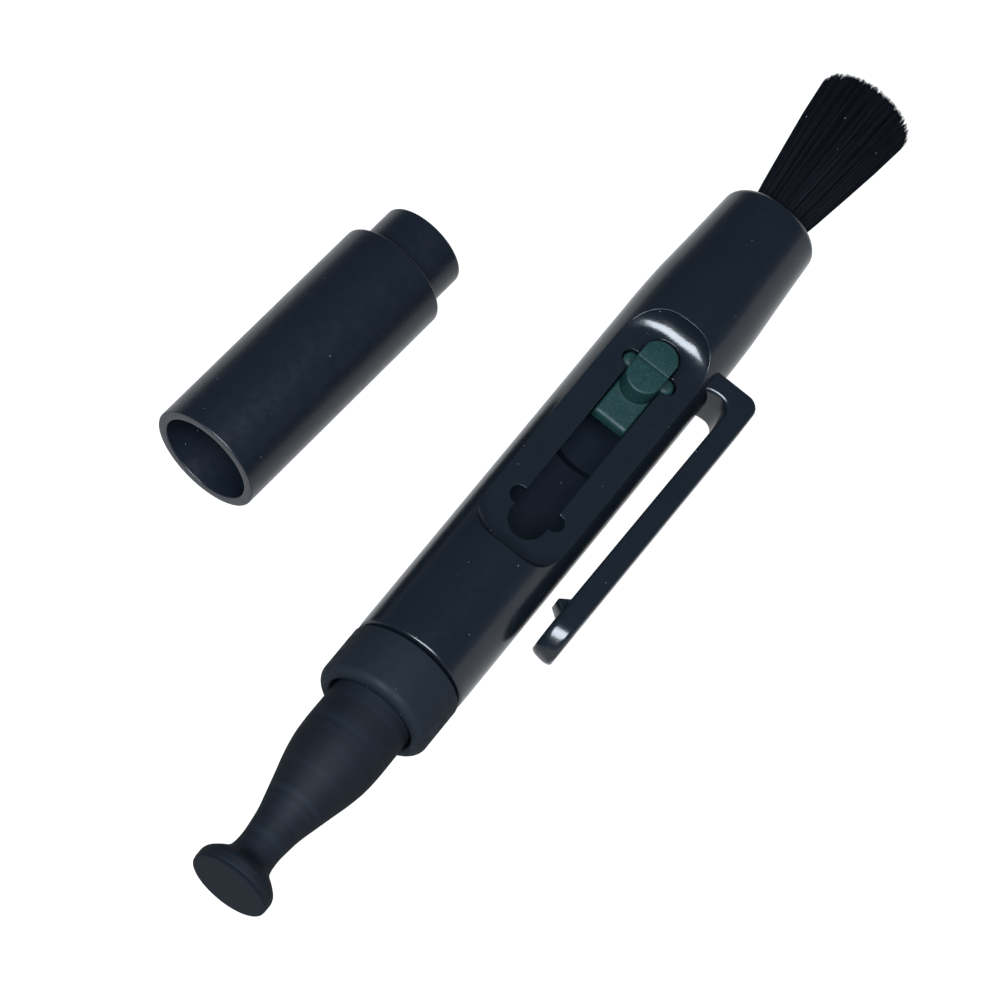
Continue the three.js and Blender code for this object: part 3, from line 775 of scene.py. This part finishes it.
def clip_sections():
    """Cross-sections from the free end over the arm to the root."""
    bend = CLIP_ROOT[0] - CLIP_FILLET
    rings = []
    reach = CLIP_END_REACH
    for i in range(1, CLIP_END_RINGS + 1):
        d = reach * (i / CLIP_END_RINGS) ** 1.6
        share = d / reach
        half = CLIP_HALF_WIDTH * math.sqrt(1 - (1 - share) ** 2)
        lean = CLIP_END_SLOPE * (1 - share)
        pull = CLIP_END_ROUND * (1 - math.sqrt(1 - max(0, 1 - d / CLIP_END_ROUND) ** 2))
        x = CLIP_FREE_END + d
        inner = (x + lean, CLIP_INNER[0] + pull)
        outer = (x, CLIP_OUTER[0] - pull)
        corner = CLIP_END_EDGE - CLIP_END_EDGE_LOSS * share
        rings.append(clip_section(inner, outer, half, corner))
    for i in range(1, CLIP_ARM_RINGS + 1):
        share = i / CLIP_ARM_RINGS
        x = CLIP_FREE_END + reach + (bend - CLIP_FREE_END - reach) * share
        inner = CLIP_INNER[0] + (CLIP_INNER[1] - CLIP_INNER[0]) * share
        outer = CLIP_OUTER[0] + (CLIP_OUTER[1] - CLIP_OUTER[0]) * share
        corner = CLIP_EDGE + CLIP_ARM_EDGE_LOSS * max(0, 1 - 6 * share)
        rings.append(clip_section((x, inner), (x, outer), CLIP_HALF_WIDTH, corner))
    low = CLIP_INNER[1] - CLIP_FILLET
    corner = rounded(
        [(bend, CLIP_OUTER[1]), (CLIP_ROOT[1], CLIP_OUTER[1], CLIP_CORNER), (CLIP_ROOT[1], low)], 8
    )
    outer_points = even(corner, CLIP_BEND_RINGS)
    for i in range(1, CLIP_BEND_RINGS + 1):
        a = math.pi / 2 * (1 - i / CLIP_BEND_RINGS)
        inner = (bend + CLIP_FILLET * math.cos(a), low + CLIP_FILLET * math.sin(a))
        rings.append(clip_section(inner, outer_points[i], CLIP_HALF_WIDTH))
    flare = CLIP_ROOT_FLARE
    for i in range(1, CLIP_ROOT_RINGS + 1):
        share = i / CLIP_ROOT_RINGS
        y = low - (low - CLIP_ROOT_REACH) * share
        back = flare - math.sqrt(max(0, flare**2 - (flare * share) ** 2))
        rings.append(clip_section((CLIP_ROOT[0] - back, y), (CLIP_ROOT[1], y), CLIP_HALF_WIDTH))
    return rings


def even(points, count):
    """count + 1 points at even spacing along a polyline."""
    lengths = [0.0]
    for a, b in zip(points, points[1:]):
        lengths.append(lengths[-1] + math.dist(a, b))
    out = []
    for i in range(count + 1):
        want = lengths[-1] * i / count
        k = min(len(points) - 2, max(0, sum(1 for length in lengths if length <= want) - 1))
        share = (want - lengths[k]) / max(1e-9, lengths[k + 1] - lengths[k])
        out.append(tuple(Vector(points[k]).lerp(Vector(points[k + 1]), min(1, share))))
    return out


def clip_tooth(bm):
    """The wedge that bites into the cloth of a pocket."""
    base = CLIP_INNER[0] + 0.4
    top = CLIP_INNER[0] - TOOTH_HEIGHT
    outline = [
        (TOOTH_AT - 1.0, base),
        (TOOTH_AT - 0.95, CLIP_INNER[0] - 0.02, 0.1),
        (TOOTH_AT - 0.1, top, 0.15),
        (TOOTH_AT + 0.2, top + 0.08, 0.15),
        (TOOTH_AT + 1.0, CLIP_INNER[0] - 0.02, 0.1),
        (TOOTH_AT + 1.05, base),
    ]
    flat = rounded(outline, 4)
    rings = []
    edge = TOOTH_EDGE
    wide = TOOTH_HALF_WIDTH
    for z, back in (
        (-wide, 1),
        (-wide + edge * 0.3, 0.45),
        (-wide + edge, 0),
        (wide - edge, 0),
        (wide - edge * 0.3, 0.45),
        (wide, 1),
    ):
        rings.append([(x, -(y + back * edge), z) for x, y in flat])
    loft(rings, bm)


def make_clip():
    bm = loft(clip_sections())
    clip_tooth(bm)
    arm = piece(loose("clip_arm", bm), PEN, GLOSS, None, angle=40)
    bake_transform(arm)
    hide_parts("pocket_clip")


# ---------------------------------------------------------------------------
# Thumb slider.


def half_capsule(x0, x1, width, flat_end, steps=24):
    """A capsule's outline with one end cut square; flat_end is -1 for the low-x end."""
    r = width / 2
    turn = [math.pi * i / steps for i in range(steps + 1)]
    if flat_end < 0:
        round_part = [(x1 - r + r * math.sin(a), -r * math.cos(a)) for a in turn]
        return [(x0, -r), *round_part, (x0, r)]
    round_part = [(x0 + r - r * math.sin(a), r * math.cos(a)) for a in turn]
    return [(x1, r), *round_part, (x1, -r)]


def make_tongue():
    """The springy strip: a rounded section drawn out along the pen, its free end round."""
    rings = []
    half = TONGUE_WIDTH / 2
    low = TONGUE_TOP - TONGUE_THICK
    length = TONGUE[1] - TONGUE[0]
    for x, drop in (*TONGUE_END_DROP, (length, 0)):
        top = TONGUE_TOP - drop
        side = half - 0.1 * drop
        flat = side - 0.4
        section = rounded(
            [(0, low), (side, low, 0.15), (side, top, 0.3), (flat, top), (-flat, top),
             (-side, top, 0.3), (-side, low, 0.15), (0, low)],
            4,
        )[:-1]
        rings.append([(TONGUE[0] + x, y, z) for y, z in section])
    return loft(rings)


def make_slider():
    bm = make_tongue()
    start = BUTTON_AT - BUTTON_LENGTH / 2
    end = BUTTON_AT + BUTTON_LENGTH / 2
    base = TONGUE_TOP - 0.5
    tip_half = half_capsule(start, BUTTON_AT + 0.05, BUTTON_WIDTH, 1)
    brush_half = half_capsule(BUTTON_AT - 0.05, end, BUTTON_WIDTH, -1)
    # The half towards the tip lies lower and rises a little to its end, and the other falls.
    slab(tip_half, base, BUTTON_TOP - BUTTON_DIP, 0.28, 6, bm,
         lift=lambda x, y: 0.06 * (BUTTON_AT - x) * max(0, BUTTON_AT - x) / 3.6)
    slab(brush_half, base, BUTTON_TOP, 0.22, 6, bm,
         lift=lambda x, y: -0.02 * max(0, x - BUTTON_AT) ** 2)
    for side in (-1, 1):
        nub = circle(NOTCHES_AT[1], side * NUB_OUT, NUB_R, 28)
        slab(nub, NUB_BOTTOM, POCKET_FLOOR, 0.6, 6, bm)
    slider = piece(loose("slider_thumb", bm), PEN, GREEN, None, angle=40)
    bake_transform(slider)
    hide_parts("thumb_slider")


# ---------------------------------------------------------------------------
# Collar, neck and tip.


def make_collar():
    profile = rounded(
        [
            (COLLAR_MOUTH_TO, COLLAR_BORE_R),
            (COLLAR_MOUTH_TO, COLLAR_MOUTH_R, 0.1),
            (COLLAR_FRONT, COLLAR_MOUTH_R, 0.3),
            (COLLAR_FRONT, COLLAR_R, COLLAR_ROUND),
            (COLLAR_BACK, COLLAR_R, 0.3),
            (COLLAR_BACK, SPIGOT_R),
            (SPIGOT_TO - SPIGOT_CHAMFER, SPIGOT_R),
            (SPIGOT_TO, SPIGOT_R - SPIGOT_CHAMFER),
            (SPIGOT_TO, COLLAR_BORE_R),
            (COLLAR_MOUTH_TO, COLLAR_BORE_R),
        ],
        10,
    )
    collar = loose("collar_ring", lathe(profile, 200))
    piece(collar, PEN, MATTE, "pen")
    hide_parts("neck_collar")


def make_neck():
    """Boot and flared disc as one rubber skin."""
    flare = [(TIP_FRONT + behind, r) for behind, r in TIP_FLARE]
    seat = TIP_FRONT + TIP_SEAT_DEPTH
    lip = TIP_FRONT + 0.3
    rim = [(seat, TIP_SEAT_R), (lip, TIP_SEAT_R, 0.05), (lip, TIP_RIM_R, 0.1), flare[0]]
    profile = [
        (seat, 0),
        (seat, TIP_SEAT_R),
        *rounded(rim, 6)[1:-1],
        *smooth_through(flare, 6)[:-1],
        *smooth_through((flare[-1], *NECK_PROFILE), 8),
        *NECK_INSIDE,
    ]
    neck = loose("neck_skin", lathe(profile, 180))
    piece(neck, PEN, RUBBER, None, angle=38)
    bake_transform(neck)
    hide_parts("neck_boot", "tip_disc")


def nap(amount, seed):
    """A small uneven swell for a fabric face, the same each run."""

    def wobble(x, r, a):
        lift = math.sin(7 * a + seed) * math.cos(1.9 * r + 2 * a) + math.sin(3 * a - 2.3 * r)
        return (-amount * lift * 0.5, 0)

    return wobble


def make_pad():
    """The chamois covers the whole face of the disc and is let into it at the back."""
    r = TIP_RIM_R - 0.04
    inner_r = TIP_SEAT_R - 0.03
    rings = 12
    face = [
        (TIP_FRONT - CHAMOIS_SWELL * (1 - (q / rings) ** 2), r * q / rings) for q in range(rings)
    ]
    edge = rounded(
        [
            (TIP_FRONT, r * (rings - 1) / rings),
            (TIP_FRONT + 0.01, r, 0.14),
            (TIP_FRONT + 0.32, r),
            (TIP_FRONT + 0.32, inner_r),
            (TIP_FRONT + CHAMOIS_THICK, inner_r),
        ],
        6,
    )
    profile = [*face, *edge[1:], (TIP_FRONT + CHAMOIS_THICK, 0)]
    pad = loose("chamois_face", lathe(profile, 120, wobble=nap(0.008, 1.0)))
    piece(pad, PEN, CHAMOIS, "tip", angle=50)
    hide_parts("chamois_pad")
    r = TIP_SEAT_R - 0.07
    back = TIP_FRONT + TIP_SEAT_DEPTH - 0.05
    front = back - FOAM_THICK
    side = [
        (front, 0.1),
        (front, r, 0.12),
        (back - FOAM_THICK / 2, r - 0.05, 0.3),
        (back, r, 0.12),
        (back, 0.1),
    ]
    core = loose("foam_under_pad", lathe([(front, 0), *rounded(side, 5), (back, 0)], 90))
    piece(core, PEN, FOAM, "tip", angle=50)
    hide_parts("tip_foam")


# ---------------------------------------------------------------------------
# Brush.


def tuft_radius(x):
    points = (TUFT_ROOT, *TUFT_FLARE)
    for (x0, r0), (x1, r1) in zip(points, points[1:]):
        if x <= x1:
            return r0 + (r1 - r0) * (x - x0) / (x1 - x0)
    return points[-1][1]


def tuft_end(share):
    """Where hairs end, by their share of the tuft's radius: a shallow dome."""
    return TUFT_END - TUFT_DOME * share**2.6


def hair_strand(bm, rng, share, angle):
    """One tapered three-sided strand at a share of the radius, all along the tuft."""
    end = tuft_end(share) - abs(rng.gauss(0, HAIR_END_SPREAD))
    wave = rng.uniform(-HAIR_WAVE, HAIR_WAVE)
    lean = rng.gauss(0, HAIR_LEAN)
    roll = rng.uniform(0, 2 * math.pi)
    rings = []
    for i in range(HAIR_STATIONS + 1):
        t = i / HAIR_STATIONS
        x = TUFT_ROOT[0] + (end - TUFT_ROOT[0]) * t
        r = tuft_radius(x) * share * (1 + 0.35 * wave * math.sin(2.5 * t)) + wave * t
        a = angle + lean * t * t
        thick = HAIR_R * (1 - 0.45 * t**3)
        centre = (r * math.cos(a), r * math.sin(a))
        rings.append([
            bm.verts.new((
                x,
                centre[0] + thick * math.cos(roll + THIRD_OF_TURN * k),
                centre[1] + thick * math.sin(roll + THIRD_OF_TURN * k),
            ))
            for k in range(3)
        ])
    for one, two in zip(rings, rings[1:]):
        bridge(bm, one, two)
    bm.faces.new(rings[0])
    bm.faces.new(list(reversed(rings[-1])))


def tuft_core(bm, start, sweep):
    """The dense inside of one sector, a little below the outer hairs."""
    count = 6
    rings = []
    for x in TUFT_CORE_AT:
        r = tuft_radius(x) * TUFT_CORE_SHARE
        ring = [bm.verts.new((x, 0, 0))]
        for i in range(count + 1):
            a = start + sweep * (1.1 * i / count - 0.05)
            ring.append(bm.verts.new((x, r * math.cos(a), r * math.sin(a))))
        rings.append(ring)
    for one, two in zip(rings, rings[1:]):
        bridge(bm, one, two)
    bm.faces.new(rings[0])
    bm.faces.new(list(reversed(rings[-1])))


def make_tuft():
    sweep = 2 * math.pi / TUFT_SECTORS
    for sector in range(TUFT_SECTORS):
        rng = random.Random(7 + sector)
        bm = bmesh.new()
        start = sector * sweep
        tuft_core(bm, start, sweep)
        for _ in range(HAIRS_PER_SECTOR):
            if rng.random() < OUTER_HAIRS:
                share = min(1.0, rng.uniform(*OUTER_BAND))
            else:
                share = rng.uniform(*INNER_BAND)
            hair_strand(bm, rng, share, start + (rng.random() + rng.gauss(0, 0.1)) * sweep)
        part = loose(f"hair_{sector:02d}", bm)
        piece(part, PEN, HAIR, "brush", angle=80)
        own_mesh(part)
        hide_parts("bristle_tuft")


def make_ferrule():
    start, end = FERRULE
    low, high = CRIMP
    r = FERRULE_R
    inner_r = r - FERRULE_WALL
    floor = start + FERRULE_FLOOR
    profile = rounded(
        [
            (start, 0),
            (start, r, 0.2),
            (low - CRIMP_SLOPE, r, 0.2),
            (low, CRIMP_R, 0.3),
            (high, CRIMP_R, 0.3),
            (high + CRIMP_SLOPE, r, 0.2),
            (end, r, 0.12),
            (end, inner_r, 0.1),
            (floor, inner_r),
            (floor, 0),
        ],
        6,
    )
    ferrule = loose("ferrule_sleeve", lathe(profile, 96))
    piece(ferrule, PEN, METAL, "brush")
    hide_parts("brush_ferrule")


# ---------------------------------------------------------------------------
# Cap.


def make_cap():
    tube = rounded(
        [
            (CAP_LENGTH, CAP_BORE_R),
            (CAP_BORE_STRAIGHT_FROM, CAP_BORE_R, 1.0),
            (0, CAP_MOUTH_R, 0.12),
            (0, CAP_R, 0.14),
            (CAP_LENGTH, CAP_R, 0.3),
            (CAP_LENGTH, CAP_BORE_R),
        ],
        6,
    )
    shell = loose("cap_shell", lathe(tube, 240))
    piece(shell, CAP, CAP_GLOSS, "cap")
    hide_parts("cap_tube")
    inner_r = CUP_R - CUP_WALL
    hollow = [(CUP_HOLLOW_TO, 0), (CUP_HOLLOW_TO, CUP_HOLLOW_R), (SPONGE_TO, CUP_HOLLOW_R)]
    cup = rounded(
        [
            (SPONGE_TO, CUP_HOLLOW_R),
            (SPONGE_TO, inner_r),
            (CUP_FROM, inner_r, 0.1),
            (CUP_FROM, CUP_R, 0.2),
            (CUP_TO, CUP_R, 0.4),
            (CUP_TO, 0.5),
        ],
        8,
    )
    stub = loose("cup_stub", lathe([*cup, (CUP_TO, 0), *hollow], 200))
    piece(stub, CAP, CAP_GLOSS, "cap")
    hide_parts("carbon_cup")
    r = inner_r - 0.05
    back = SPONGE_TO - 0.05
    front = SPONGE_FROM
    rings = 10
    face = [(front + 0.15 * (q / rings) ** 2, r * q / rings) for q in range(rings)]
    side = [(front + 0.2, r * 0.95), (front + 0.25, r, 0.2), (back, r), (back, 0)]
    profile = [*face, *rounded(side, 5)]
    sponge = loose("sponge_block", lathe(profile, 100, wobble=nap(0.05, 2.0)))
    piece(sponge, CAP, CARBON, "cap", angle=50)
    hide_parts("carbon_sponge")


# ---------------------------------------------------------------------------
# CAD pieces that stay.


def finish_cad_nodes():
    for name in ("brush_carriage", "neck_core"):
        node = frame["nodes"][name]
        node.data.materials.clear()
        node.data.materials.append(INNER)


# ---------------------------------------------------------------------------
# Floor, light and camera.

FLOOR_HALF = 1.5
FLOOR_AT = -0.0001
FLOOR_GREY = 0.12
FLOOR_GLOW = 0.93
# Colours of the sky, from the horizon up.
SKY = (
    (0.0, (0.36, 0.4, 0.46)),
    (0.1, (0.27, 0.31, 0.37)),
    (0.3, (0.1, 0.12, 0.16)),
    (1.0, (0.09, 0.11, 0.15)),
)
CAMERA_AZIMUTH = -55.24
CAMERA_ELEVATION = 57
CAMERA_DISTANCE = 0.64
CAMERA_LENS = 207.36
# The point the camera looks at, in the pen's frame.
CAMERA_AIM = (23.65, 3.98, -1.29)


def make_floor():
    """A white table that glows a little, so that it stays as bright as its surroundings."""
    bm = bmesh.new()
    half = FLOOR_HALF
    for x, y in ((-half, -half), (half, -half), (half, half), (-half, half)):
        bm.verts.new((x, y, FLOOR_AT))
    bm.faces.new(bm.verts)
    floor = loose("floor", bm)
    n = Nodes("white floor")
    n.shader.inputs["Base Color"].default_value = (*[FLOOR_GREY] * 3, 1)
    n.shader.inputs["Roughness"].default_value = 0.9
    n.shader.inputs["Emission Color"].default_value = (1, 1, 1, 1)
    n.shader.inputs["Emission Strength"].default_value = FLOOR_GLOW
    floor.data.materials.append(n.material)


def area_light(name, towards, distance, size, power, colour=(1, 1, 1)):
    """A soft light in a direction from the object, aimed at it."""
    data = bpy.data.lights.new(name, "AREA")
    data.shape = "RECTANGLE"
    data.size, data.size_y = size
    data.energy = power
    data.color = colour
    light = bpy.data.objects.new(name, data)
    direction = Vector(towards).normalized()
    light.location = direction * distance
    light.rotation_euler = (-direction).to_track_quat("-Z", "Y").to_euler()
    bpy.context.scene.collection.objects.link(light)


def make_light():
    """A dim sky that is paler near the horizon, a large key light and a weak fill."""
    world = bpy.data.worlds.new("studio")
    bpy.context.scene.world = world
    world.use_nodes = True
    tree = world.node_tree
    background = tree.nodes["Background"]
    place = tree.nodes.new("ShaderNodeTexCoord")
    split = tree.nodes.new("ShaderNodeSeparateXYZ")
    tree.links.new(place.outputs["Generated"], split.inputs["Vector"])
    ramp = tree.nodes.new("ShaderNodeValToRGB")
    set_stops(ramp.color_ramp, SKY)
    tree.links.new(split.outputs["Z"], ramp.inputs["Fac"])
    tree.links.new(ramp.outputs["Color"], background.inputs["Color"])
    background.inputs["Strength"].default_value = 1.0
    area_light("key", (-0.47, -0.265, 0.85), 0.9, (0.84, 0.44), 39.0, (0.82, 0.9, 1.0))
    area_light("fill", (-0.8, -0.12, 0.55), 0.9, (0.5, 0.4), 0.8)


def make_camera():
    azimuth = math.radians(CAMERA_AZIMUTH)
    elevation = math.radians(CAMERA_ELEVATION)
    back = Vector(
        (
            math.sin(azimuth) * math.cos(elevation),
            -math.cos(azimuth) * math.cos(elevation),
            math.sin(elevation),
        )
    )
    data = bpy.data.cameras.new("camera")
    data.sensor_width = 36
    data.lens = CAMERA_LENS
    data.clip_start = 0.05
    data.clip_end = 10
    camera = bpy.data.objects.new("camera", data)
    camera.location = PEN @ Vector(CAMERA_AIM) + back * CAMERA_DISTANCE
    camera.rotation_euler = back.to_track_quat("Z", "Y").to_euler()
    bpy.context.scene.collection.objects.link(camera)
    bpy.context.scene.camera = camera
    bpy.context.scene.view_settings.view_transform = "Standard"


make_barrel()
make_clip()
make_slider()
make_collar()
make_neck()
make_pad()
make_tuft()
make_ferrule()
make_cap()
finish_cad_nodes()
make_floor()
make_light()
make_camera()
